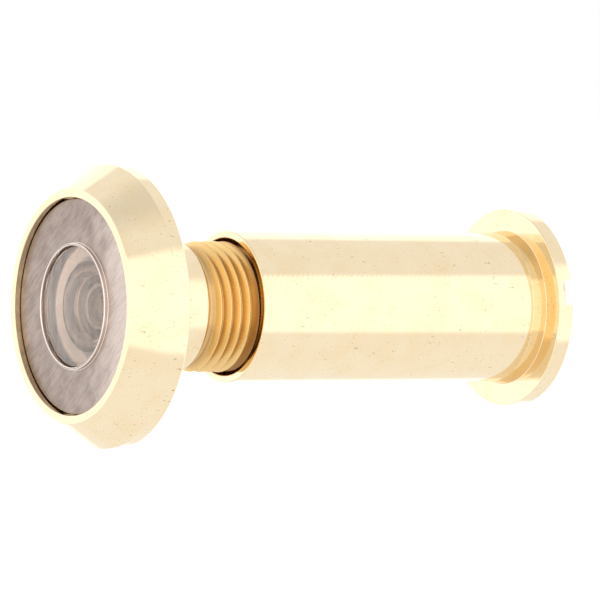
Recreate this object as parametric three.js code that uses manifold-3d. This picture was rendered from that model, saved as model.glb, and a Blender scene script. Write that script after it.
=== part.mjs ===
// Door viewer: a wide-angle peephole that clamps itself in a hole through a door. The objective housing goes in
// from outside and the eyepiece sleeve from inside, and the sleeve screws onto the housing until both flanges
// grip the door. Millimetres, +Z up. The optical axis is Y, with the outside of the house at -Y. The origin is
// on the axis, in the plane of the housing's face that seats on the outside of the door.
import * as THREE from "three";
import { mergeVertices } from "three/addons/utils/BufferGeometryUtils.js";
import Module from "manifold-3d";

// ---- Driving dimensions ----

const DOOR = 42.8; // from seat to seat as the sleeve is screwed on here
const DOOR_THINNEST = 35; // the thinnest door that it closes up on
const MOUTH_ROOM = 3.8; // there, between the sleeve's mouth and the housing's seat
const END_ROOM = 1.5; // there, between the housing's inner end and the eyepiece

const HEAD_D = 25.8; // the housing's flange, outside the door
const HEAD_HEIGHT = 4.85; // how far it stands off the door
const HEAD_BAND = 1.4; // the upright edge of the flange, below its cone
const RIM_D = 21.2; // the narrow front rim, at the small end of the cone
const RIM_WALL = 0.75;
const EDGE_BREAK = 0.15; // the small chamfer on turned edges

const THREAD_D = 12; // over the crests of the housing's thread
const PITCH = 1;
const THREAD_GRIP = 0.35 * PITCH; // how deep the sleeve's crests reach in past the housing's
const THREAD_FLOOR_GAP = 0.3 * PITCH; // between a crest and the floor of the groove that it runs in
const FLANK_GAP = 0.1; // along the axis, on each side of a ridge
const FLANK_SLOPE = Math.tan(THREE.MathUtils.degToRad(30));
const NECK_STEP = 0.1; // the plain neck behind the flange is this far below the crests
const NECK_LENGTH = 6.8;
const PILOT_LENGTH = 0.6; // the inner end of the housing's tube, which has no thread
const TUBE_WALL = 0.65; // under the housing's thread
const SHOULDER_LIP = 0.65; // the shoulder in the housing reaches in this far past its bore
const SHOULDER_Y = -1; // its outer face, which parts the front lens from the two behind it
const SHOULDER_THICKNESS = 1.1;

const FRONT_LENS_D = 13;
const FRONT_LENS_RADIUS = 40; // of its outer face
const FRONT_LENS_SET_BACK = 0.4; // the edge of that face lies this far behind the lip round the window
const FRONT_LENS_CENTRE = 1; // its thickness on the axis
const FRONT_BOWL_STEP = 0.15; // its bowl is this much smaller than the shoulder's hole, all round
const PLATE_RECESS = 0.6; // the face plate lies this far behind the rim
const PLATE_THICKNESS = 0.8;
const PLATE_REACH = 1; // and reaches in over the front lens's edge this far
const WINDOW_LIP_HEIGHT = 0.4; // the raised lip round the window in the face plate
const WINDOW_LIP_WALL = 0.25;
const SMALL_LENS_EDGE = 2.2; // the thickness of the middle and rear lenses
const SMALL_LENS_LAND = 1.4; // the flat ring round their bowls
const MIDDLE_BOWL_DEPTH = 1.5;
const REAR_BOWL_DEPTH = 0.9; // on the side of the spacer
const REAR_BACK_DEPTH = 0.45;
const SPACER_LENGTH = 3;
const SPACER_WALL = 0.7;

const SLEEVE_WALL = 0.7;
const SLEEVE_THREAD_LENGTH = 7;
const MOUTH_LEAD = 0.5; // the least plain bore before the sleeve's thread
const FLANGE_D = 18.6;
const FLANGE_THICKNESS = 1.65;
const COLLAR_SWELL = 0.25; // the sleeve grows by this, all round, where it meets its flange
const COLLAR_LENGTH = 1.3;
const SLOT_WIDTH = 2.3; // for a coin or a screwdriver, right across the flange
const SLOT_DEPTH = 0.8;
const SLOT_ANGLE = THREE.MathUtils.degToRad(12);

const CELL_STEP = 0.15; // the eyepiece is this much smaller than the thread that it goes in through, all round
const CELL_LEAD = 0.5; // from the cell's open end to its clip
const EYE_LIP = 1; // the thickness of the lip that holds the eyepiece in
const EYE_LIP_WIDTH = 1.3;
const EYE_COUNTERSINK = 1; // how much wider the eye hole is at its outer end, all round
const EYE_LENS_EDGE = 1.4;
const EYE_LENS_RADIUS = 24.6; // of both its domes
const EYE_WASHER_THICKNESS = 0.3;
const EYE_WASHER_WIDTH = 1.1;
const EYE_SPACER_LENGTH = 1.1;
const EYE_SPACER_WALL = 0.7;

const CLIP_THICKNESS = 0.7; // both spring clips
const CLIP_WALL = 0.75;
const CLIP_OPENING = THREE.MathUtils.degToRad(34); // the part of the circle that a clip leaves open
const CLIP_BITE = 0.2; // how far a clip reaches into its groove

const LENS_FIT = 0.1; // radial room around a lens, spacer, plate or clip
const SEAT_GAP = 0.05; // along the axis between two pieces that rest on each other

// ---- How finely round things are cut ----

const THREAD_ROUND = 20;
const ROUND = 2 * THREAD_ROUND; // so that a bore's corners line up with its thread's
const DOME_STEPS = 4;

// ---- Materials ----

const metal = (color, roughness) => new THREE.MeshStandardMaterial({ color, roughness, metalness: 1 });
const brass = metal(0xe8c987, 0.14);
const brushedSteel = metal(0xa39a95, 0.42);
const springSteel = metal(0x77777a, 0.35);
const glass = new THREE.MeshStandardMaterial({
  color: 0xe6eceb,
  roughness: 0.03,
  metalness: 0,
  transparent: true,
  opacity: 0.35,
});
const blackened = new THREE.MeshStandardMaterial({ color: 0x1b1a19, roughness: 0.75, metalness: 0.2 });

// ---- Solids ----

const wasm = await Module();
wasm.setup();

function solidOf(geometry) {
  const bare = geometry.clone();
  bare.deleteAttribute("normal");
  bare.deleteAttribute("uv");
  const merged = mergeVertices(bare, 1e-4);
  return new wasm.Manifold(
    new wasm.Mesh({
      numProp: 3,
      vertProperties: merged.getAttribute("position").array,
      triVerts: new Uint32Array(merged.index.array),
    }),
  );
}

function geometryOf(solid) {
  const mesh = solid.getMesh();
  return new THREE.BufferGeometry()
    .setAttribute("position", new THREE.BufferAttribute(mesh.vertProperties, 3))
    .setIndex(new THREE.BufferAttribute(mesh.triVerts, 1))
    .toNonIndexed();
}

// A profile of [radius, y] points, turned about the Y axis. It runs anticlockwise, with radius to the right and
// y upward. It starts and ends on the axis, or it is closed here. startAngle is where its first corner is.
function turned(points, round = ROUND, startAngle = 0) {
  const profile = points.map(([radius, y]) => new THREE.Vector2(radius, y));
  const onAxis = profile[0].x === 0 && profile.at(-1).x === 0;
  if (!onAxis) profile.push(profile[0].clone());
  return new THREE.LatheGeometry(profile, round, startAngle);
}

function ring(outerD, innerD, bottom, top) {
  return turned([
    [innerD / 2, bottom],
    [outerD / 2, bottom],
    [outerD / 2, top],
    [innerD / 2, top],
  ]);
}

// The height of a sphere's cap over a hole of this diameter, and the sphere's radius from the cap's height.
const capHeight = (sphereRadius, diameter) => sphereRadius - Math.sqrt(sphereRadius ** 2 - diameter ** 2 / 4);
const capRadius = (height, diameter) => (diameter ** 2 / 4 + height ** 2) / (2 * height);

// Points along a spherical cap from the axis out to diameter / 2. The cap's edge is at edgeY, and its middle is
// height above that, or below it where height is negative.
function capPoints(diameter, edgeY, height) {
  const radius = capRadius(Math.abs(height), diameter);
  const reach = Math.asin(diameter / 2 / radius);
  return Array.from({ length: DOME_STEPS + 1 }, (_, i) => {
    const angle = (reach * i) / DOME_STEPS;
    const up = Math.abs(height) - radius * (1 - Math.cos(angle));
    return [i === 0 ? 0 : radius * Math.sin(angle), edgeY + Math.sign(height) * up];
  });
}

// A lens is a disc with a cap on each side. A cap narrower than the disc leaves a flat ring around it.
// heights are how far the caps' middles stand above the bottom and top faces, along +Y.
function lens(diameter, bottom, top, [bottomCapD, bottomHeight], [topCapD, topHeight]) {
  const under = bottomHeight ? capPoints(bottomCapD, bottom, bottomHeight) : [[0, bottom]];
  const over = topHeight ? capPoints(topCapD, top, topHeight) : [[0, top]];
  const edge = [];
  if (!bottomHeight || bottomCapD < diameter) edge.push([diameter / 2, bottom]);
  if (!topHeight || topCapD < diameter) edge.push([diameter / 2, top]);
  return turned([...under, ...edge, ...over.reverse()]);
}

// A screw thread's ridge. Its profile is extruded straight, one millimetre to the turn, and then wound round
// the Y axis from its upper end down: x is the radius, and y the height. Both kinds are right-handed.
function woundRidge(profile, top, turns, startAngle) {
  const outline = new THREE.Shape(profile.map(([x, y]) => new THREE.Vector2(x, y)));
  const straight = new THREE.ExtrudeGeometry(outline, {
    depth: turns,
    steps: Math.round(turns * THREAD_ROUND),
    bevelEnabled: false,
  });
  const at = straight.getAttribute("position");
  for (let i = 0; i < at.count; i++) {
    const turn = at.getZ(i);
    const angle = startAngle - 2 * Math.PI * turn;
    at.setXYZ(i, at.getX(i) * Math.sin(angle), at.getY(i) + top - PITCH * turn, at.getX(i) * Math.cos(angle));
  }
  return straight;
}

// The thread's shape. Ridges of the housing and of the sleeve are equally wide halfway up their shared height.
const crestR = THREAD_D / 2; // of the housing
const sleeveCrestR = crestR - THREAD_GRIP;
const rootR = sleeveCrestR - THREAD_FLOOR_GAP; // the floor of the housing's groove
const sleeveBoreR = crestR + THREAD_FLOOR_GAP; // also the floor of the sleeve's groove
const ridgeHalf = PITCH / 4 - FLANK_GAP / 2;
const RIDGE_ROOT = 0.15; // how far a ridge is sunk into the tube that carries it

// dir is 1 for a ridge that points outwards and -1 for one that points inwards.
function ridgeProfile(crest, root, dir) {
  const middle = (crestR + sleeveCrestR) / 2;
  const halfAt = (radius) => ridgeHalf + dir * (middle - radius) * FLANK_SLOPE;
  const outline = [
    [root - dir * RIDGE_ROOT, -halfAt(root)],
    [root, -halfAt(root)],
    [crest, -halfAt(crest)],
    [crest, halfAt(crest)],
    [root, halfAt(root)],
    [root - dir * RIDGE_ROOT, halfAt(root)],
  ];
  return dir > 0 ? outline : outline.reverse();
}

// An open ring: a flat spring clip, centred on the Y axis.
function clip(outerR, bottom) {
  const innerR = outerR - CLIP_WALL;
  const start = CLIP_OPENING / 2;
  const end = 2 * Math.PI - CLIP_OPENING / 2;
  const shape = new THREE.Shape();
  shape.absarc(0, 0, outerR, start, end, false);
  shape.absarc(0, 0, innerR, end, start, true);
  const flat = new THREE.ExtrudeGeometry(shape, {
    depth: CLIP_THICKNESS,
    bevelEnabled: false,
    curveSegments: ROUND / 2,
  });
  return flat.rotateX(-Math.PI / 2).translate(0, bottom, 0);
}

// ---- The eyepiece's levels, in the sleeve's own frame: y = 0 is its seat on the inside of the door ----

const sleeveR = sleeveBoreR + SLEEVE_WALL;
const mouthY = MOUTH_ROOM - DOOR_THINNEST;
const cellR = sleeveCrestR - CELL_STEP;
const cellPieceD = 2 * (cellR - LENS_FIT);
const eyeHoleR = cellR - EYE_LIP_WIDTH;
const lipY = FLANGE_THICKNESS - EYE_LIP; // where the eyepiece rests
const washerY = lipY - SEAT_GAP - EYE_WASHER_THICKNESS;
const washerHoleD = cellPieceD - 2 * EYE_WASHER_WIDTH;
const eyeSpacerHoleD = cellPieceD - 2 * EYE_SPACER_WALL;
const eyeDome = capHeight(EYE_LENS_RADIUS, cellPieceD);
const domeInWasher = eyeDome - capHeight(EYE_LENS_RADIUS, washerHoleD);
const domeInSpacer = eyeDome - capHeight(EYE_LENS_RADIUS, eyeSpacerHoleD);
const eyeLensTop = washerY - SEAT_GAP - domeInWasher; // of the lens's edge
const eyeSpacerY = eyeLensTop - EYE_LENS_EDGE - domeInSpacer - SEAT_GAP - EYE_SPACER_LENGTH;
const eyeClipY = eyeSpacerY - SEAT_GAP - CLIP_THICKNESS;
const cellY = eyeClipY - SEAT_GAP - CELL_LEAD;
// On the thinnest door, the sleeve's thread starts just past the end of the housing's neck.
const sleeveThreadStart = mouthY + Math.max(MOUTH_LEAD, NECK_LENGTH - MOUTH_ROOM) + PITCH / 2 + FLANK_GAP;
const sleeveTurns = Math.round(SLEEVE_THREAD_LENGTH / PITCH);
const sleeveThreadEnd = sleeveThreadStart + sleeveTurns * PITCH;

// ---- The objective housing's levels, from the outside in ----

const rimY = -HEAD_HEIGHT;
const plateY = rimY + PLATE_RECESS;
const plateBack = plateY + PLATE_THICKNESS;
const plateSeatD = RIM_D - 2 * RIM_WALL;
const windowD = FRONT_LENS_D - 2 * PLATE_REACH;
const lipFrontY = plateY - WINDOW_LIP_HEIGHT;
const neckR = crestR - NECK_STEP;
const boreR = rootR - TUBE_WALL;
const shoulderR = boreR - SHOULDER_LIP;
const shoulderBack = SHOULDER_Y + SHOULDER_THICKNESS;
const smallLensD = 2 * (boreR - LENS_FIT);
const smallBowlD = smallLensD - 2 * SMALL_LENS_LAND;
const middleY = shoulderBack + SEAT_GAP;
const spacerY = middleY + SMALL_LENS_EDGE + SEAT_GAP;
const rearY = spacerY + SPACER_LENGTH + SEAT_GAP;
const clipY = rearY + SMALL_LENS_EDGE + SEAT_GAP;
const tubeEnd = DOOR_THINNEST + cellY - END_ROOM;
const threadEnd = tubeEnd - PILOT_LENGTH - PITCH / 2; // the middle of the ridge's last turn
const housingTurns = Math.floor((threadEnd + PITCH / 2 - NECK_LENGTH) / PITCH);

// ---- The objective ----

// The flange, with the pocket for the front lens and, wider, for the face plate over it.
function head() {
  const pocketR = FRONT_LENS_D / 2 + LENS_FIT;
  const headR = HEAD_D / 2;
  const profile = [
    [shoulderR, SHOULDER_Y],
    [pocketR, SHOULDER_Y],
    [pocketR, plateBack + SEAT_GAP],
    [plateSeatD / 2, plateBack + SEAT_GAP],
    [plateSeatD / 2, rimY],
    [RIM_D / 2, rimY],
    [headR, -HEAD_BAND],
    [headR, -EDGE_BREAK],
    [headR - EDGE_BREAK, 0],
    [shoulderR, 0],
  ];
  return solidOf(turned(profile));
}

// The neck and the tube behind it, without the thread. Its outer end is sunk in the flange.
function tube() {
  const grooveR = boreR + CLIP_BITE + LENS_FIT;
  const grooveEnd = clipY + CLIP_THICKNESS + SEAT_GAP;
  const profile = [
    [shoulderR, SHOULDER_Y / 2],
    [neckR, SHOULDER_Y / 2],
    [neckR, NECK_LENGTH - (neckR - rootR)],
    [rootR, NECK_LENGTH],
    [rootR, tubeEnd - EDGE_BREAK],
    [rootR - EDGE_BREAK, tubeEnd],
    [boreR, tubeEnd],
    [boreR, grooveEnd],
    [grooveR, grooveEnd],
    [grooveR, clipY - SEAT_GAP / 2],
    [boreR, clipY - SEAT_GAP / 2],
    [boreR, shoulderBack],
    [shoulderR, shoulderBack],
  ];
  return solidOf(turned(profile, THREAD_ROUND));
}

function objectiveHousing() {
  const ridge = woundRidge(ridgeProfile(crestR, rootR, 1), threadEnd, housingTurns, 0);
  return geometryOf(head().add(tube()).add(solidOf(ridge)));
}

// A flat disc with a raised lip round its window.
function facePlate() {
  const plateR = plateSeatD / 2 - LENS_FIT;
  const windowR = windowD / 2;
  return turned([
    [windowR, lipFrontY],
    [windowR + WINDOW_LIP_WALL, lipFrontY],
    [windowR + WINDOW_LIP_WALL, plateY],
    [plateR, plateY],
    [plateR, plateBack],
    [windowR, plateBack],
  ]);
}

// Its front fills the face plate's window, and its back is deeply hollow, so that it bends light from all sides
// into the tube.
function frontLens() {
  const faceD = windowD - 2 * LENS_FIT;
  const faceY = lipFrontY + FRONT_LENS_SET_BACK;
  const dome = capHeight(FRONT_LENS_RADIUS, faceD);
  const edgeR = FRONT_LENS_D / 2;
  const back = SHOULDER_Y - SEAT_GAP;
  const bowl = back - (faceY - dome + FRONT_LENS_CENTRE);
  return turned([
    ...capPoints(faceD, faceY, -dome),
    [faceD / 2, plateBack + SEAT_GAP],
    [edgeR, plateBack + SEAT_GAP],
    [edgeR, back],
    ...capPoints(2 * (shoulderR - FRONT_BOWL_STEP), back, -bowl).reverse(),
  ]);
}

function smallLens(bottom, bottomHeight, topHeight) {
  const top = bottom + SMALL_LENS_EDGE;
  return lens(smallLensD, bottom, top, [smallBowlD, bottomHeight], [smallBowlD, topHeight]);
}

const middleLens = () => smallLens(middleY, 0, -MIDDLE_BOWL_DEPTH);
const rearLens = () => smallLens(rearY, REAR_BOWL_DEPTH, -REAR_BACK_DEPTH);
const lensSpacer = () => ring(smallLensD, smallLensD - 2 * SPACER_WALL, spacerY, spacerY + SPACER_LENGTH);

// ---- The eyepiece ----

// startAngle is where the sleeve's corners start, so that they line up with those of its thread.
function sleeveShell(startAngle) {
  const flangeR = FLANGE_D / 2;
  const clipTop = eyeClipY + CLIP_THICKNESS + SEAT_GAP / 2;
  const grooveR = cellR + CLIP_BITE + LENS_FIT;
  const profile = [
    [sleeveBoreR, mouthY],
    [sleeveR - EDGE_BREAK, mouthY],
    [sleeveR, mouthY + EDGE_BREAK],
    [sleeveR, -COLLAR_LENGTH],
    [sleeveR + COLLAR_SWELL, 0],
    [flangeR, 0],
    [flangeR, FLANGE_THICKNESS - EDGE_BREAK],
    [flangeR - EDGE_BREAK, FLANGE_THICKNESS],
    [eyeHoleR + EYE_COUNTERSINK, FLANGE_THICKNESS],
    [eyeHoleR, FLANGE_THICKNESS - EYE_LIP / 2],
    [eyeHoleR, lipY],
    [cellR, lipY],
    [cellR, clipTop],
    [grooveR, clipTop],
    [grooveR, eyeClipY - SEAT_GAP],
    [cellR, eyeClipY - SEAT_GAP],
    [cellR, cellY],
    [sleeveBoreR, cellY],
  ];
  return solidOf(turned(profile, ROUND, startAngle));
}

function coinSlot() {
  const across = 2 * FLANGE_D; // past both sides of the flange
  const cut = new THREE.BoxGeometry(across, 2 * SLOT_DEPTH, SLOT_WIDTH);
  return solidOf(cut.translate(0, FLANGE_THICKNESS, 0).rotateY(-SLOT_ANGLE));
}

function eyepieceSleeve() {
  // The sleeve has turned as far as it takes for its ridge to run midway between the housing's.
  const startAngle = 2 * Math.PI * ((DOOR + sleeveThreadEnd - threadEnd) / PITCH - 0.5);
  const profile = ridgeProfile(sleeveCrestR, sleeveBoreR, -1);
  const ridge = woundRidge(profile, sleeveThreadEnd, sleeveTurns, startAngle);
  return geometryOf(sleeveShell(startAngle).add(solidOf(ridge)).subtract(coinSlot()));
}

const eyepieceWasher = () => ring(cellPieceD, washerHoleD, washerY, washerY + EYE_WASHER_THICKNESS);

const eyepieceLens = () =>
  lens(cellPieceD, eyeLensTop - EYE_LENS_EDGE, eyeLensTop, [cellPieceD, -eyeDome], [cellPieceD, eyeDome]);

const eyepieceSpacer = () => ring(cellPieceD, eyeSpacerHoleD, eyeSpacerY, eyeSpacerY + EYE_SPACER_LENGTH);

// ---- The assembly ----

function piece(name, geometry, material) {
  const mesh = new THREE.Mesh(geometry, material);
  mesh.name = name;
  return mesh;
}

const objective = new THREE.Group();
objective.add(
  piece("objective_housing", objectiveHousing(), brass),
  piece("face_plate", facePlate(), brushedSteel),
  piece("front_lens", frontLens(), glass),
  piece("middle_lens", middleLens(), glass),
  piece("lens_spacer", lensSpacer(), blackened),
  piece("rear_lens", rearLens(), glass),
  piece("lens_clip", clip(boreR + CLIP_BITE, clipY), springSteel),
);

const eyepiece = new THREE.Group();
eyepiece.position.y = DOOR;
eyepiece.add(
  piece("eyepiece_sleeve", eyepieceSleeve(), brass),
  piece("eyepiece_washer", eyepieceWasher(), blackened),
  piece("eyepiece_lens", eyepieceLens(), glass),
  piece("eyepiece_spacer", eyepieceSpacer(), blackened),
  piece("eyepiece_clip", clip(cellR + CLIP_BITE, eyeClipY), springSteel),
);

const doorViewer = new THREE.Group();
doorViewer.add(objective, eyepiece);

export default doorViewer;
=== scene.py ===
"""A door viewer in polished brass, lying level: its front lens looks towards -Y, its eyepiece towards +Y."""

import math

import bmesh
import bpy
import numpy as np
from mathutils import Matrix, Vector


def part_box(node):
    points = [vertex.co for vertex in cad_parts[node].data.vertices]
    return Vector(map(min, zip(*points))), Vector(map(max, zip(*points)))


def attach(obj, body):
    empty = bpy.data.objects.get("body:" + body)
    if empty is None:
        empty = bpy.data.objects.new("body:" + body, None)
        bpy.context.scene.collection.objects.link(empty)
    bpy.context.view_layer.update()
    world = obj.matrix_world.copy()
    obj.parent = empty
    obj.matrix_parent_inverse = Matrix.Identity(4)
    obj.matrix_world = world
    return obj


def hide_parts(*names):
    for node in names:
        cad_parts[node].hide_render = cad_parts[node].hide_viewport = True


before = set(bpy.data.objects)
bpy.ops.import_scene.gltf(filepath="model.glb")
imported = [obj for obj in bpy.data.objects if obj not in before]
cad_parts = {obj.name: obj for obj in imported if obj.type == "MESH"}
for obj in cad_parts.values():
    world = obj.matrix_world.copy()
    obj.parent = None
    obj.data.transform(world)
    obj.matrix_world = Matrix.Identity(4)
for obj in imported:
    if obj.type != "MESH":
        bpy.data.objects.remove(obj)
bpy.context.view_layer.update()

# ---- Sizes, in metres ----

MM = 0.001
TAU = 2 * math.pi


def span(node):
    """The node's first and last y, along the viewer's axis."""
    low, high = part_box(node)
    return low.y, high.y


RIM_Y, TUBE_END = span("objective_housing")
MOUTH_Y, BACK_Y = span("eyepiece_sleeve")
LIP_Y, PLATE_BACK = span("face_plate")
HEAD_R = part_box("objective_housing")[1].x

HEAD_BAND = 1.4 * MM
RIM_R = 10.6 * MM
PLATE_SEAT_R = 9.85 * MM
WINDOW_R = 5.5 * MM
LIP_WALL = 0.25 * MM
PLATE_Y = LIP_Y + 0.4 * MM
POCKET_R = 6.6 * MM
SHOULDER_Y = -1 * MM
SHOULDER_BACK = 0.1 * MM
SHOULDER_R = 4.05 * MM
BORE_R = 4.7 * MM
CREST_R = 6 * MM
FLOOR_R = 5.35 * MM  # of the housing's thread
NECK_R = 5.9 * MM
NECK_END = 6.8 * MM
PITCH = 1 * MM

SLEEVE_R = 7 * MM
SLEEVE_BORE_R = 6.3 * MM
SLEEVE_CREST_R = 5.65 * MM
FLANGE_R = 9.3 * MM
FLANGE_THICKNESS = 1.65 * MM
COLLAR_R = 7.25 * MM
COLLAR_LENGTH = 1.3 * MM
SLOT_HALF = 1.15 * MM
SLOT_DEPTH = 0.8 * MM
SLOT_TILT = math.radians(12)
CELL_R = 5.5 * MM
EYE_HOLE_R = 4.2 * MM
EYE_RIM_R = 5.2 * MM
EYE_LIP = 1 * MM
LENS_R = 4.6 * MM
EYE_LENS_R = 5.4 * MM
HOLLOW_R = 3.2 * MM  # of the small lenses' curved faces
GROOVE_DEEPER = 0.3 * MM  # than the bore round it
GROOVE_ROOM = 0.03 * MM
SEAT_Y = BACK_Y - FLANGE_THICKNESS
FAR = 1.0  # further along than anything here

# ---- Surfaces ----

AROUND = 160  # columns round the axis
ARC_STEPS = 5
HOLD = 0.04 * MM  # the straight step beside an arc that keeps the shading flat
SEAM = 1e-7


def rounded(corners, closed=False):
    """Turns corners, as rows of [radius, y, arc], into a smooth outline. Each corner becomes an arc of its
    own radius that touches both sides: its centre is on the corner's bisector, arc / sin(half the corner's
    angle) away, and the points are spread evenly by angle between the two touching points. A short straight
    step comes before and after each arc. The ends of an open outline stay sharp."""
    corners = np.asarray(corners, float)
    if closed:
        corners = np.vstack([corners[-1:], corners, corners[:1]])
    point, arc = corners[1:-1, :2], corners[1:-1, 2:]
    before, after = corners[:-2, :2] - point, corners[2:, :2] - point
    before /= np.linalg.norm(before, axis=1, keepdims=True)
    after /= np.linalg.norm(after, axis=1, keepdims=True)
    half = np.arccos(np.clip((before * after).sum(1, keepdims=True), -1, 1)) / 2
    reach = arc / np.tan(half)
    middle = before + after
    centre = point + middle / np.linalg.norm(middle, axis=1, keepdims=True) * arc / np.sin(half)
    first, last = point + before * reach - centre, point + after * reach - centre
    swing = (math.pi - 2 * half)[:, None]
    step = np.linspace(0, 1, ARC_STEPS + 1)[None, :, None]
    curve = np.sin((1 - step) * swing) * first[:, None] + np.sin(step * swing) * last[:, None]
    curve = centre[:, None] + curve / np.sin(swing)
    lead, trail = point + before * (reach + HOLD), point + after * (reach + HOLD)
    outline = np.concatenate([lead[:, None], curve, trail[:, None]], 1).reshape(-1, 2)
    if closed:
        return np.vstack([outline, outline[:1]])
    return np.vstack([corners[:1, :2], outline, corners[-1:, :2]])


def even_angles(radius):
    """Evenly spaced columns all the way round, the same at every radius."""
    return np.broadcast_to(np.arange(AROUND) * TAU / AROUND, radius.shape[:-1] + (AROUND,))


def revolved(outline, angles=even_angles, ceiling=None):
    """Carries an outline round the axis: x = radius * sin(angle), z = radius * cos(angle), and y is the
    outline's, or the column's ceiling where that is lower. Rows are the outline's points."""
    radius, y = outline[:, :1], outline[:, 1:]
    angle = angles(radius)
    if ceiling is not None:
        y = np.minimum(y, ceiling)
    y = np.broadcast_to(y, angle.shape)
    return np.stack([radius * np.sin(angle), y, radius * np.cos(angle)], -1)


# One turn of thread, from groove to groove, as shares of the pitch.
TOOTH_AT = np.array([0, 0.05, 0.14, 0.24, 0.33, 0.4, 0.44, 0.475,
                     0.5, 0.525, 0.56, 0.6, 0.67, 0.76, 0.86, 0.95])


def tooth(share):
    """The ridge's height, from 0 in the groove to 1 on the crest. The flanks are straight, and a hyperbola
    rounds the crest: (1 - sqrt(across squared + ease squared)) / (1 - ease), where across is -1 to 1 over
    the turn."""
    ease = 0.12
    return np.clip((1 - np.sqrt((2 * share - 1) ** 2 + ease * ease)) / (1 - ease), 0, None)


def threaded(floor_r, crest_r, low, high, crest_y, angles=even_angles, run_out=(1.3, 0.3)):
    """A screw thread between two plain rings, as rows of helices: y = low + pitch * (row's share + angle / 2
    pi), clipped between low and high, so that both ends close on a flat ring. The radius is floor + (crest -
    floor) * tooth * fade, where fade eases from 0 to 1 over run_out turns at each end. crest_y is the height
    of a crest at angle 0. The last column joins the first one a turn of rows further up."""
    turns = math.ceil((high - low) / PITCH) + 1
    share = (np.arange(-1, turns)[:, None] + TOOTH_AT[None, :]).ravel()[:, None]
    angle = angles(np.full((len(share), 1), floor_r))
    offset = ((crest_y - low) / PITCH - 0.5) % 1
    y = low + PITCH * (share - 1 + offset + angle / TAU)
    height = tooth(share % 1)
    clipped = np.clip(y, low, high)
    fade_in = np.clip((clipped - low) / PITCH / run_out[0], 0, 1)
    fade_out = np.clip((high - clipped) / PITCH / run_out[1], 0, 1)
    fade = fade_in * fade_in * (3 - 2 * fade_in) * fade_out * fade_out * (3 - 2 * fade_out)
    radius = floor_r + (crest_r - floor_r) * height * fade
    return np.stack([radius * np.sin(angle), clipped, radius * np.cos(angle)], -1)


def quads(grid, first, turn_rows=0, inward=False):
    """The four corners of each face of a grid of points, numbered from first. The last column joins the
    first, turn_rows further up. Faces look outward where the rows run anticlockwise with radius to the right,
    and inward turns them over."""
    rows, columns = grid.shape[:2]
    row = np.arange(rows - 1)[:, None]
    column = np.arange(columns)[None, :]
    beside = (column + 1) % columns
    up = np.where(column + 1 == columns, turn_rows, 0)
    near = np.minimum(row + up, rows - 1) * columns + beside
    far = np.minimum(row + 1 + up, rows - 1) * columns + beside
    own = row * columns + column
    faces = np.stack(np.broadcast_arrays(own, near, far, own + columns), -1).reshape(-1, 4)
    return first + (faces[:, ::-1] if inward else faces)


def made_piece(name, surfaces, material, body, replaced):
    """Joins surfaces, each a grid of points with what quads takes after first, into one closed mesh, hangs
    the piece on its body, gives it its finish and hides the node it stands for."""
    grids = [surface[0] for surface in surfaces]
    points = np.concatenate([grid.reshape(-1, 3) for grid in grids])
    starts = np.cumsum([0] + [grid.shape[0] * grid.shape[1] for grid in grids])
    corners = np.concatenate([quads(grid, start, *rest) for (grid, *rest), start in zip(surfaces, starts)])
    mesh = bpy.data.meshes.new(name)
    mesh.vertices.add(len(points))
    mesh.vertices.foreach_set("co", points.ravel())
    mesh.loops.add(corners.size)
    mesh.loops.foreach_set("vertex_index", corners.ravel())
    mesh.polygons.add(len(corners))
    mesh.polygons.foreach_set("loop_start", np.arange(len(corners)) * 4)
    mesh.update(calc_edges=True)
    joined = bmesh.new()
    joined.from_mesh(mesh)
    bmesh.ops.remove_doubles(joined, verts=joined.verts, dist=SEAM)
    bmesh.ops.dissolve_degenerate(joined, dist=SEAM, edges=joined.edges)
    joined.to_mesh(mesh)
    joined.free()
    mesh.polygons.foreach_set("use_smooth", np.ones(len(mesh.polygons), bool))
    mesh.materials.append(material)
    piece = bpy.data.objects.new(name, mesh)
    bpy.context.scene.collection.objects.link(piece)
    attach(piece, body)
    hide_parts(replaced)
    return piece


# ---- Node trees ----


def add(tree, kind, settings=None, **inputs):
    """Adds a node to the tree. settings are its own properties, and inputs its sockets by name, with spaces
    as underscores or by number as in_0: a socket is linked, and any other value is set."""
    made = tree.nodes.new(kind)
    for key, value in (settings or {}).items():
        setattr(made, key, value)
    for key, value in inputs.items():
        socket = made.inputs[int(key[3:])] if key.startswith("in_") else made.inputs[key.replace("_", " ")]
        if isinstance(value, bpy.types.NodeSocket):
            tree.links.new(value, socket)
        else:
            socket.default_value = value
    return made


def maths(tree, first, second, how="ADD"):
    """One Math node: first and second are sockets or numbers."""
    return add(tree, "ShaderNodeMath", {"operation": how}, in_0=first, in_1=second).outputs[0]


def ramp(tree, value, low, high, to_low=0.0, to_high=1.0):
    """value from low..high carried smoothly to to_low..to_high, and held beyond them."""
    made = add(tree, "ShaderNodeMapRange", {"interpolation_type": "SMOOTHSTEP"}, Value=value, From_Min=low,
               From_Max=high, To_Min=to_low, To_Max=to_high)
    return made.outputs[0]


def blended(tree, share, first, second):
    """Two colours mixed by share."""
    made = add(tree, "ShaderNodeMix", {"data_type": "RGBA"}, Factor=share)
    for socket, colour in zip((made.inputs[6], made.inputs[7]), (first, second)):
        if isinstance(colour, bpy.types.NodeSocket):
            tree.links.new(colour, socket)
        else:
            socket.default_value = (*colour, 1)
    return made.outputs[2]


def grain(tree, place, size, detail=3.0, roughness=0.5):
    """Fractal noise with features of about that size, in metres, from 0 to 1."""
    made = add(tree, "ShaderNodeTexNoise", Vector=place, Scale=1 / size, Detail=detail, Roughness=roughness)
    return made.outputs[0]


def stretched(tree, place, scale, turn=(0, 0, 0)):
    """The place, turned and then scaled along each axis."""
    turned = add(tree, "ShaderNodeMapping", Vector=place, Rotation=turn).outputs[0]
    return add(tree, "ShaderNodeMapping", Vector=turned, Scale=scale).outputs[0]


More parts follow.
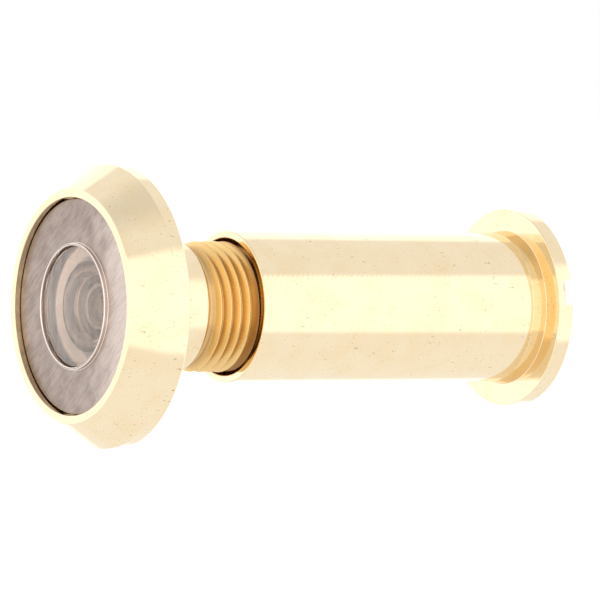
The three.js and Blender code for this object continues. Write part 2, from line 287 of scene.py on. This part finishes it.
def finish_tree(name):
    """A new material's tree, its Principled shader, and the place on the object."""
    material = bpy.data.materials.new(name)
    material.use_nodes = True
    tree = material.node_tree
    shader = tree.nodes["Principled BSDF"]
    place = add(tree, "ShaderNodeTexCoord").outputs["Object"]
    return material, tree, shader, place


def turned_place(tree, place):
    """(radius, y, 0) of the place: noise on it makes rings round the axis, as a lathe tool does."""
    across = add(tree, "ShaderNodeVectorMath", {"operation": "MULTIPLY"}, in_0=place, in_1=(1, 0, 1))
    across = across.outputs[0]
    radius = add(tree, "ShaderNodeVectorMath", {"operation": "LENGTH"}, in_0=across).outputs["Value"]
    y = add(tree, "ShaderNodeSeparateXYZ", Vector=place).outputs["Y"]
    return add(tree, "ShaderNodeCombineXYZ", X=radius, Y=y).outputs[0], y


def set_bump(tree, shader, heights):
    """Adds up heights, each a socket from 0 to 1 and its depth in metres, and bumps the shader with them."""
    total = 0.0
    for height, depth in heights:
        total = maths(tree, total, maths(tree, height, depth, "MULTIPLY"))
    bump = add(tree, "ShaderNodeBump", Strength=1.0, Distance=1.0, Height=total)
    tree.links.new(bump.outputs[0], shader.inputs["Normal"])


# ---- Finishes ----

MICRON = 1e-6
BRASS = (0.90, 0.755, 0.52)
DEEP_BRASS = (0.885, 0.72, 0.47)
# Painted interreflection: a warmer, darker amber for light bounced between the thread's flanks and off the
# flange's face.
PAINTED_BOUNCE_AMBER = (0.84, 0.56, 0.23)
TARNISH = (0.40, 0.25, 0.12)
# Painted shade: the dark brown of the thread's groove floors and of the band under the sleeve's mouth.
SHADE_BROWN = (0.27, 0.12, 0.035)


def polished_brass(name, inner, chatter=0.0, neck_y=FAR, thread_y=FAR):
    """Brass turned on a lathe and then polished: a mirror with faint rings, a slow ripple, small pits, short
    scuffs and a tint that wanders a little. inner is the radius and y of a hollow that wasn't polished, and
    its colour, which in the sleeve's bore is partly painted shade. chatter is the depth of the tool's shiver,
    which crosses the rings in a fine lattice. Beyond neck_y the brass is polished less, and beyond thread_y
    not
    at all: there it is duller and painted amber for light bounced between the thread's flanks, with painted
    shade darkening the groove floors and a band where the sleeve's mouth stands. The swell before the
    sleeve's flange is painted amber too, for light bounced off the flange's face."""
    material, tree, shader, place = finish_tree(name)
    rings, y = turned_place(tree, place)
    radius = add(tree, "ShaderNodeSeparateXYZ", Vector=rings).outputs["X"]
    inner_r, inner_y, inner_colour = inner
    hollow = maths(tree, ramp(tree, radius, inner_r, inner_r + 0.05 * MM, 1, 0),
                    ramp(tree, y, inner_y - 0.05 * MM, inner_y + 0.05 * MM, 1, 0), "MULTIPLY")
    fine_rings = grain(tree, rings, 0.05 * MM, 2)
    coarse_rings = grain(tree, rings, 0.35 * MM, 1)
    ripple = grain(tree, place, 1.1 * MM, 2)
    pits = ramp(tree, grain(tree, place, 0.17 * MM, 2, 0.6), 0.67, 0.73)
    scuffs = ramp(tree, grain(tree, stretched(tree, place, (1, 0.35, 1)), 0.24 * MM, 3, 0.6), 0.62, 0.72)
    patches = ramp(tree, grain(tree, place, 3 * MM, 2), 0.45, 0.62)
    marks = maths(tree, pits, maths(tree, scuffs, patches, "MULTIPLY"), "MAXIMUM")
    heights = [
        (fine_rings, 0.05 * MICRON),
        (coarse_rings, 0.25 * MICRON),
        (ripple, 1.2 * MICRON),
        (marks, -1.6 * MICRON),
    ]
    if chatter:
        heights.append((lattice(tree, place, y), chatter))
    set_bump(tree, shader, heights)
    tint = ramp(tree, grain(tree, place, 2.5 * MM, 3), 0.35, 0.7)
    dull_and_bounce = ramp(tree, y, thread_y - 0.5 * MM, thread_y + 0.3 * MM)
    colour = blended(tree, tint, BRASS, DEEP_BRASS)
    # Painted shade: a dark band where the sleeve's mouth stands over the thread, and darker groove floors.
    from_mouth = maths(tree, maths(tree, y, MOUTH_Y + 0.6 * MM, "SUBTRACT"), 0.0, "ABSOLUTE")
    mouth_shade = maths(tree, dull_and_bounce, ramp(tree, from_mouth, 0.6 * MM, 1.1 * MM, 0.92, 0), "MULTIPLY")
    groove_shade = maths(tree, dull_and_bounce, ramp(tree, radius, FLOOR_R, CREST_R - 0.1 * MM, 0.42, 0), "MULTIPLY")
    # Painted interreflection: the thread and the swell before the flange are turned amber.
    from_collar = maths(tree, maths(tree, y, SEAT_Y - COLLAR_LENGTH / 2, "SUBTRACT"), 0.0, "ABSOLUTE")
    collar_bounce = ramp(tree, from_collar, COLLAR_LENGTH / 2 - 0.1 * MM, COLLAR_LENGTH / 2, 0.8, 0)
    colour = blended(tree, maths(tree, dull_and_bounce, collar_bounce, "MAXIMUM"), colour, PAINTED_BOUNCE_AMBER)
    colour = blended(tree, maths(tree, mouth_shade, groove_shade, "MAXIMUM"), colour, SHADE_BROWN)
    colour = blended(tree, hollow, colour, inner_colour)
    colour = blended(tree, maths(tree, marks, 0.75, "MULTIPLY"), colour, TARNISH)
    tree.links.new(colour, shader.inputs["Base Color"])
    haze = ramp(tree, grain(tree, place, 1.6 * MM, 3), 0.3, 0.8, 0.05, 0.11)
    neck = ramp(tree, y, neck_y - 0.1 * MM, neck_y + 0.1 * MM, 0, 0.7)
    unpolished = maths(tree, maths(tree, dull_and_bounce, hollow, "MAXIMUM"), neck, "MAXIMUM")
    tree.links.new(maths(tree, haze, maths(tree, unpolished, 0.17, "MULTIPLY")), shader.inputs["Roughness"])
    shader.inputs["Metallic"].default_value = 1.0
    return material


def lattice(tree, place, y):
    """The tool's shiver: sin(2 pi y / step) * sin(count * angle), from 0 to 1, on the upper side and dying
    away from the mouth."""
    part = add(tree, "ShaderNodeSeparateXYZ", Vector=place)
    angle = maths(tree, part.outputs["X"], part.outputs["Z"], "ARCTAN2")
    along = maths(tree, maths(tree, y, TAU / (0.54 * MM), "MULTIPLY"), 0.0, "SINE")
    across = maths(tree, maths(tree, angle, 60.0, "MULTIPLY"), 0.0, "SINE")
    wave = maths(tree, along, across, "MULTIPLY")
    upper = ramp(tree, part.outputs["Z"], -1 * MM, 1 * MM)
    near_mouth = ramp(tree, y, 20 * MM, 38 * MM, 1, 0.3)
    wave = maths(tree, wave, maths(tree, upper, near_mouth, "MULTIPLY"), "MULTIPLY")
    return maths(tree, maths(tree, wave, 0.5, "MULTIPLY"), 0.5)


def brushed_steel():
    """Steel rubbed with a fine abrasive: short scratches in two slanting directions, and a painted highlight
    that lightens it towards +X along the scratches. The lip round the window is polished, with a painted
    highlight."""
    material, tree, shader, place = finish_tree("brushed_steel")
    rings, _ = turned_place(tree, place)
    radius = add(tree, "ShaderNodeSeparateXYZ", Vector=rings).outputs["X"]
    lip = ramp(tree, radius, WINDOW_R + LIP_WALL, WINDOW_R + LIP_WALL + 0.08 * MM, 1, 0)
    lean = stretched(tree, place, (1, 1, 0.07), (0, math.radians(-48), 0))
    cross = stretched(tree, place, (1, 1, 0.1), (0, math.radians(20), 0))
    scratches = grain(tree, lean, 0.1 * MM, 4, 0.75)
    crossing = grain(tree, cross, 0.12 * MM, 3, 0.7)
    clouds = grain(tree, place, 1.6 * MM, 3)
    set_bump(tree, shader, [(scratches, 3.5 * MICRON), (crossing, 1.5 * MICRON)])
    x = add(tree, "ShaderNodeSeparateXYZ", Vector=place).outputs["X"]
    # Painted highlight: lighter towards +X and along the scratches, where the streaked highlight falls.
    side_highlight = ramp(tree, maths(tree, x, maths(tree, clouds, 3 * MM, "MULTIPLY")), 3.5 * MM, 9.5 * MM, 0, 0.75)
    tone = maths(tree, maths(tree, scratches, 0.7, "MULTIPLY"), maths(tree, clouds, 0.3, "MULTIPLY"))
    colour = blended(tree, ramp(tree, tone, 0.38, 0.62), (0.25, 0.19, 0.165), (0.40, 0.33, 0.29))
    colour = blended(tree, maths(tree, side_highlight, ramp(tree, scratches, 0.3, 0.7, 0.6, 1.3), "MULTIPLY"), colour,
                     (0.66, 0.56, 0.50))
    # Painted highlight: the lip is coloured lighter as well as polished smoother.
    colour = blended(tree, lip, colour, (0.86, 0.76, 0.70))
    tree.links.new(colour, shader.inputs["Base Color"])
    rough = ramp(tree, scratches, 0.3, 0.7, 0.26, 0.42)
    tree.links.new(maths(tree, rough, maths(tree, lip, -0.2, "MULTIPLY")), shader.inputs["Roughness"])
    shader.inputs["Metallic"].default_value = 1.0
    return material


def clear_glass(name, tint, veil=0.0):
    """Moulded lens glass of that tint, with a trace of wiping in its polish. veil is the share of light that
    a thin film of dust on it scatters."""
    material, tree, shader, place = finish_tree(name)
    wiped = grain(tree, stretched(tree, place, (1, 1, 0.3)), 0.7 * MM, 3)
    tree.links.new(ramp(tree, wiped, 0.4, 0.8, 0.0, 0.03), shader.inputs["Roughness"])
    set_bump(tree, shader, [(grain(tree, place, 1.5 * MM, 2), 0.4 * MICRON)])
    shader.inputs["Base Color"].default_value = (*tint, 1)
    clear = ramp(tree, wiped, 0.3, 0.7, 1 - 0.7 * veil, 1 - 1.3 * veil)
    tree.links.new(clear, shader.inputs["Transmission Weight"])
    shader.inputs["IOR"].default_value = 1.52
    shader.inputs["Specular Tint"].default_value = (1.0, 0.88, 0.78, 1)
    return material


def dull_metal(name, dark, light, roughness):
    """Plain grey or blackened metal with a fine grain and faint turning rings."""
    material, tree, shader, place = finish_tree(name)
    rings, _ = turned_place(tree, place)
    marks = grain(tree, rings, 0.08 * MM, 2)
    speckle = grain(tree, place, 0.12 * MM, 3)
    set_bump(tree, shader, [(marks, 1.5 * MICRON), (speckle, 1.5 * MICRON)])
    tree.links.new(blended(tree, speckle, dark, light), shader.inputs["Base Color"])
    rough = ramp(tree, marks, 0.3, 0.7, roughness - 0.08, roughness + 0.08)
    tree.links.new(rough, shader.inputs["Roughness"])
    shader.inputs["Metallic"].default_value = 0.8
    return material


POCKET = (POCKET_R + 0.1 * MM, SHOULDER_Y + 0.5 * MM, (0.80, 0.73, 0.66))
# The sleeve's bore is unpolished, and its darker amber is partly painted shade of the deep gap round the
# thread.
SLEEVE_BORE_TINT_AND_SHADE = (SLEEVE_BORE_R + 0.08 * MM, SEAT_Y, (0.78, 0.48, 0.21))
BRASS_HEAD = polished_brass("polished_brass_housing", POCKET, neck_y=0.2 * MM, thread_y=NECK_END)
BRASS_SLEEVE = polished_brass("polished_brass_sleeve", SLEEVE_BORE_TINT_AND_SHADE, 2.5 * MICRON)
STEEL = brushed_steel()
GLASS = clear_glass("clear_glass", (0.98, 0.95, 0.92))
FRONT_GLASS = clear_glass("front_glass", (0.87, 0.77, 0.70), 0.13)
BLACKENED = dull_metal("blackened_metal", (0.012, 0.011, 0.011), (0.035, 0.032, 0.03), 0.6)
SPRING = dull_metal("spring_steel", (0.16, 0.16, 0.165), (0.30, 0.30, 0.31), 0.35)

# ---- The objective ----


def objective_housing():
    """The head's cup and cone, the neck, the thread and the tube, as one turning."""
    crisp, soft = 0.04 * MM, 0.16 * MM
    lens_clip_low, lens_clip_high = span("lens_clip")
    groove = (lens_clip_low - GROOVE_ROOM, lens_clip_high + GROOVE_ROOM)
    outer = rounded([
        [SHOULDER_R, SHOULDER_Y, crisp],
        [POCKET_R, SHOULDER_Y, crisp],
        [POCKET_R, PLATE_BACK, crisp],
        [PLATE_SEAT_R, PLATE_BACK, crisp],
        [PLATE_SEAT_R, RIM_Y, 0.1 * MM],
        [RIM_R, RIM_Y, 0.22 * MM],
        [HEAD_R, -HEAD_BAND, soft],
        [HEAD_R, 0, soft],
        [NECK_R, 0, crisp],
        [NECK_R, NECK_END - (NECK_R - FLOOR_R), crisp],
        [FLOOR_R, NECK_END, crisp],
    ])
    inner = rounded([
        [FLOOR_R, TUBE_END - 0.6 * MM, crisp],
        [FLOOR_R, TUBE_END, 0.1 * MM],
        [BORE_R, TUBE_END, crisp],
        [BORE_R, groove[1], crisp],
        [BORE_R + GROOVE_DEEPER, groove[1], crisp],
        [BORE_R + GROOVE_DEEPER, groove[0], crisp],
        [BORE_R, groove[0], crisp],
        [BORE_R, SHOULDER_BACK, crisp],
        [SHOULDER_R, SHOULDER_BACK, crisp],
        [SHOULDER_R, SHOULDER_Y, crisp],
    ])
    thread = threaded(FLOOR_R, CREST_R, NECK_END, TUBE_END - 0.6 * MM, TUBE_END - 1.1 * MM)
    surfaces = [(revolved(outer),), (thread, len(TOOTH_AT)), (revolved(inner),)]
    return made_piece("housing_turning", surfaces, BRASS_HEAD, "objective",
                      "objective_housing")


def washer(name, node, outer, inner, material, body, edge=0.05 * MM):
    """A turned ring with eased edges, between the node's own two faces."""
    low, high = span(node)
    outline = rounded([
        [inner, low, edge],
        [outer, low, edge],
        [outer, high, edge],
        [inner, high, edge],
    ], closed=True)
    return made_piece(name, [(revolved(outline),)], material, body, node)


def dome(radius, edge_y, height, steps=24):
    """A spherical cap from the axis out to radius, as [radius, y]: the sphere's own radius is (radius
    squared + height squared) / (2 * height), and the cap's middle is height above its edge, or below it if
    negative."""
    sphere = (radius * radius + height * height) / (2 * abs(height))
    angle = np.linspace(0, math.asin(radius / sphere), steps)
    rise = abs(height) - sphere * (1 - np.cos(angle))
    return np.stack([sphere * np.sin(angle), edge_y + math.copysign(1, height) * rise], 1)


def lens(name, node, body, radius, front, back, front_cap, back_cap):
    """A glass disc with a cap or bowl in each face. front and back are the faces' y, and each cap is its
    radius and its middle's height along the axis, or None where the face is flat."""
    edge = 0.08 * MM
    start = dome(front_cap[0], front, front_cap[1]) if front_cap else np.array([[0, front]])
    end = dome(back_cap[0], back, back_cap[1]) if back_cap else np.array([[0, back]])
    rim = [[*start[-1], edge]]
    if not front_cap or front_cap[0] < radius - edge:
        rim.append([radius, front, edge])
    if not back_cap or back_cap[0] < radius - edge:
        rim.append([radius, back, edge])
    rim = np.array(rim + [[*end[-1], edge]])
    outline = np.vstack([start[:-1], rounded(rim), end[:-1][::-1]])
    return made_piece(name, [(revolved(outline),)], GLASS, body, node)


def face_plate():
    """The steel plate, with the raised lip round its window."""
    plate_r = PLATE_SEAT_R - 0.1 * MM
    outline = rounded([
        [WINDOW_R, LIP_Y, 0.11 * MM],
        [WINDOW_R + LIP_WALL, LIP_Y, 0.11 * MM],
        [WINDOW_R + LIP_WALL, PLATE_Y, 0.05 * MM],
        [plate_r, PLATE_Y, 0.1 * MM],
        [plate_r, PLATE_BACK, 0.05 * MM],
        [WINDOW_R, PLATE_BACK, 0.05 * MM],
    ], closed=True)
    return made_piece("plate_ring", [(revolved(outline),)], STEEL, "objective", "face_plate")


def front_lens():
    """The front lens: a low dome that fills the window, a wider edge held behind the plate, and a deep
    bowl."""
    low, high = span("front_lens")
    face_r, edge_r = WINDOW_R - 0.1 * MM, 6.5 * MM
    face_y, edge_y = LIP_Y + 0.4 * MM, PLATE_BACK + 0.05 * MM
    face = dome(face_r, face_y, low - face_y)
    bowl = dome(3.9 * MM, high, low + 1 * MM - high)
    edge = 0.08 * MM
    side = rounded([[*face[-2], edge], [*face[-1], edge], [face_r, edge_y, edge], [edge_r, edge_y, edge],
                    [edge_r, high, edge], [*bowl[-1], edge], [*bowl[-2], edge]])
    outline = np.vstack([face[:-2], side, bowl[:-2][::-1]])
    return made_piece("front_dome", [(revolved(outline),)], FRONT_GLASS, "objective",
                      "front_lens")


# ---- The sleeve ----

SLOT_EDGE = 0.08 * MM
SLOT_FLOOR_Y = BACK_Y - SLOT_DEPTH
LAND_COLUMNS = 64
# Columns across the slot, from one side to the other: the distance from its middle in half widths, and the
# ceiling there.
SLOT_LIMIT = 1 + SLOT_EDGE / SLOT_HALF
SLOT_ACROSS = np.array([-SLOT_LIMIT, -1, -1, -0.6, -0.2, 0.2, 0.6, 1, 1, SLOT_LIMIT])
SLOT_CEILING = np.array([FAR, BACK_Y - SLOT_EDGE] + [SLOT_FLOOR_Y] * 6 + [BACK_Y - SLOT_EDGE, FAR])


def slotted_angles(radius):
    """Columns round the axis that keep step with the coin slot: across the slot, the angle is arcsin(distance
    from its middle / radius), and the rest of each half turn is shared out evenly between its two edges."""
    start = math.pi / 2 - SLOT_TILT
    slot = np.arcsin(SLOT_ACROSS * SLOT_HALF / radius)
    edge = slot[:, -1:]
    land = edge + (math.pi - 2 * edge) * np.arange(1, LAND_COLUMNS) / LAND_COLUMNS
    half = np.concatenate([slot, land], 1) + start
    return np.concatenate([half, half + math.pi], 1)


def slot_ceiling():
    """Each column's ceiling: the slot's floor inside it, a small bevel at its edges, and none elsewhere."""
    half = np.concatenate([SLOT_CEILING, np.full(LAND_COLUMNS - 1, FAR)])
    return np.concatenate([half, half])[None, :]


def eyepiece_sleeve():
    """The barrel with its swell, flange, slot, eye hole and cell, as one turning cut across its end."""
    crisp = 0.04 * MM
    clip_low, clip_high = span("eyepiece_clip")
    groove = (clip_low - GROOVE_ROOM, clip_high + GROOVE_ROOM)
    lip_y = BACK_Y - EYE_LIP
    cell_y = clip_low - 0.55 * MM
    thread_low, thread_high = MOUTH_Y + 3.2 * MM, MOUTH_Y + 11.2 * MM
    outer = rounded([
        [SLEEVE_BORE_R, thread_low, crisp],
        [SLEEVE_BORE_R, MOUTH_Y, 0.08 * MM],
        [SLEEVE_R, MOUTH_Y, 0.15 * MM],
        [SLEEVE_R, SEAT_Y - COLLAR_LENGTH, 0.4 * MM],
        [COLLAR_R, SEAT_Y, 0.05 * MM],
        [FLANGE_R, SEAT_Y, 0.08 * MM],
        [FLANGE_R, BACK_Y, 0.15 * MM],
        [EYE_RIM_R, BACK_Y, 0.1 * MM],
        [EYE_HOLE_R, BACK_Y - EYE_LIP / 2, 0.1 * MM],
        [EYE_HOLE_R, lip_y, crisp],
        [CELL_R, lip_y, crisp],
        [CELL_R, groove[1], crisp],
        [CELL_R + GROOVE_DEEPER, groove[1], crisp],
        [CELL_R + GROOVE_DEEPER, groove[0], crisp],
        [CELL_R, groove[0], crisp],
        [CELL_R, cell_y, crisp],
        [SLEEVE_BORE_R, cell_y, crisp],
        [SLEEVE_BORE_R, thread_high, crisp],
    ])
    thread = threaded(SLEEVE_BORE_R, SLEEVE_CREST_R, thread_low, thread_high, TUBE_END - 1.1 * MM + PITCH / 2,
                      slotted_angles, (0.3, 0.3))
    surfaces = [(revolved(outer, slotted_angles, slot_ceiling()),), (thread, len(TOOTH_AT), True)]
    return made_piece("sleeve_turning", surfaces, BRASS_SLEEVE, "sleeve", "eyepiece_sleeve")


def spring_clip(name, node, body, outer):
    """A split ring: a rounded bar bent round the axis, open at one side, with round ends. Its section is
    carried from one end angle to the other, and each end shrinks to a point over half the bar's thickness."""
    low, high = span(node)
    wall, opening = 0.75 * MM, math.radians(34)
    middle_r, middle_y = outer - wall / 2, (low + high) / 2
    around = np.arange(20) * TAU / 20
    power = 0.5
    section = np.stack([np.sign(np.cos(around)) * np.abs(np.cos(around)) ** power * wall / 2,
                        np.sign(np.sin(around)) * np.abs(np.sin(around)) ** power * (high - low) / 2], 1)
    tip = np.linspace(0, 1, 7)
    reach = wall / 2 / middle_r
    start, end = math.pi / 2 + opening / 2 + reach, math.pi / 2 + TAU - opening / 2 - reach
    angle = np.concatenate([start - reach * np.cos(tip * math.pi / 2), np.linspace(start, end, 120)[1:-1],
                            end + reach * np.sin(tip * math.pi / 2)])
    size = np.concatenate([np.sin(tip * math.pi / 2), np.ones(118), np.cos(tip * math.pi / 2)])
    radius = middle_r + section[None, :, 0] * size[:, None]
    y = middle_y + section[None, :, 1] * size[:, None]
    grid = np.stack([radius * np.sin(angle)[:, None], y, radius * np.cos(angle)[:, None]], -1)
    return made_piece(name, [(grid, 0, True)], SPRING, body, node)


objective_housing()
face_plate()
front_lens()
middle_low, middle_high = span("middle_lens")
lens("middle_glass", "middle_lens", "objective", LENS_R, middle_low, middle_high, None,
     (HOLLOW_R, -1.5 * MM))
washer("blackened_spacer", "lens_spacer", LENS_R, 3.9 * MM, BLACKENED, "objective")
rear_low, rear_high = span("rear_lens")
lens("rear_glass", "rear_lens", "objective", LENS_R, rear_low, rear_high, (HOLLOW_R, 0.9 * MM),
     (HOLLOW_R, -0.45 * MM))
spring_clip("lens_spring", "lens_clip", "objective", 4.9 * MM)

eyepiece_sleeve()
washer("lip_washer", "eyepiece_washer", EYE_LENS_R, 4.3 * MM, BLACKENED, "sleeve", 0.04 * MM)
eye_low, eye_high = span("eyepiece_lens")
eye_dome = (eye_high - eye_low - 1.4 * MM) / 2
lens("eye_glass", "eyepiece_lens", "eyepiece_optics", EYE_LENS_R, eye_low + eye_dome, eye_high - eye_dome,
     (EYE_LENS_R, -eye_dome), (EYE_LENS_R, eye_dome))
washer("eye_spacer", "eyepiece_spacer", EYE_LENS_R, 4.7 * MM, BLACKENED, "sleeve")
spring_clip("eye_spring", "eyepiece_clip", "sleeve", 5.7 * MM)

# ---- The studio ----


def direction(azimuth, elevation):
    """The unit vector that points that way, in degrees: azimuth 0 is -Y and 90 is +X."""
    a, e = math.radians(azimuth), math.radians(elevation)
    return Vector((math.sin(a) * math.cos(e), -math.cos(a) * math.cos(e), math.sin(e)))


# The light at each height, from the floor up: the elevation where it starts, in degrees, the softness of that
# edge, and its brightness.
BELOW = 1.05
LEVELS = [(-29, 3, 1.4), (41, 3, 1.0), (66, 10, 0.8)]


def studio_sky():
    """A plain white tent seen from inside: bright walls between a pale table and a softer top, the same all
    the way round. What is looked at straight is plain white."""
    world = bpy.data.worlds.new("studio")
    bpy.context.scene.world = world
    world.use_nodes = True
    tree = world.node_tree
    way = add(tree, "ShaderNodeTexCoord").outputs["Generated"]
    height = add(tree, "ShaderNodeSeparateXYZ", Vector=way).outputs["Z"]
    elevation = maths(tree, maths(tree, height, 0.0, "ARCSINE"), 180 / math.pi, "MULTIPLY")
    sky = add(tree, "ShaderNodeRGB").outputs[0]
    sky.default_value = (BELOW, BELOW, BELOW, 1)
    for start, soft, brightness in LEVELS:
        sky = blended(tree, ramp(tree, elevation, start - soft, start + soft), sky, (brightness,) * 3)
    straight = add(tree, "ShaderNodeLightPath").outputs["Is Camera Ray"]
    seen = blended(tree, straight, sky, (1.0, 1.0, 1.0))
    tree.links.new(seen, tree.nodes["Background"].inputs["Color"])


def floor():
    """A wide pale board under the viewer, as matt as paper."""
    material, tree, shader, place = finish_tree("pale_board")
    fibres = grain(tree, place, 0.8 * MM, 4)
    tree.links.new(blended(tree, fibres, (0.93, 0.93, 0.93), (0.97, 0.97, 0.97)), shader.inputs["Base Color"])
    shader.inputs["Roughness"].default_value = 0.9
    shader.inputs["Specular IOR Level"].default_value = 0.1
    shader.inputs["Emission Color"].default_value = (1, 1, 1, 1)
    shader.inputs["Emission Strength"].default_value = 0.6
    half = 1.5
    mesh = bpy.data.meshes.new("floor")
    corners = [(-half, -half, -HEAD_R), (half, -half, -HEAD_R), (half, half, -HEAD_R), (-half, half, -HEAD_R)]
    mesh.from_pydata(corners, [], [(0, 1, 2, 3)])
    mesh.materials.append(material)
    board = bpy.data.objects.new("floor", mesh)
    bpy.context.scene.collection.objects.link(board)
    board.visible_glossy = False


def camera():
    """A long lens, low and a little off level, that looks at the middle of the viewer from the front
    right."""
    azimuth, elevation, roll, distance = 56.84, 2.83, 1.98, 526.7 * MM
    back = direction(azimuth, elevation)
    side = Vector((math.cos(math.radians(azimuth)), math.sin(math.radians(azimuth)), 0))
    up = back.cross(side)
    r = math.radians(roll)
    across, upward = side * math.cos(r) + up * math.sin(r), up * math.cos(r) - side * math.sin(r)
    aim = Vector((0, 20 * MM, 0)) - across * 0.04 * MM + upward * 0.63 * MM
    place = Matrix((across, upward, back)).transposed().to_4x4()
    place.translation = aim + back * distance
    lens_data = bpy.data.cameras.new("camera")
    lens_data.lens = 341.7
    lens_data.sensor_width = 36
    lens_data.clip_start = 0.01
    made = bpy.data.objects.new("camera", lens_data)
    made.matrix_world = place
    bpy.context.scene.collection.objects.link(made)
    bpy.context.scene.camera = made


studio_sky()
floor()
camera()
bpy.context.scene.view_settings.view_transform = "Standard"
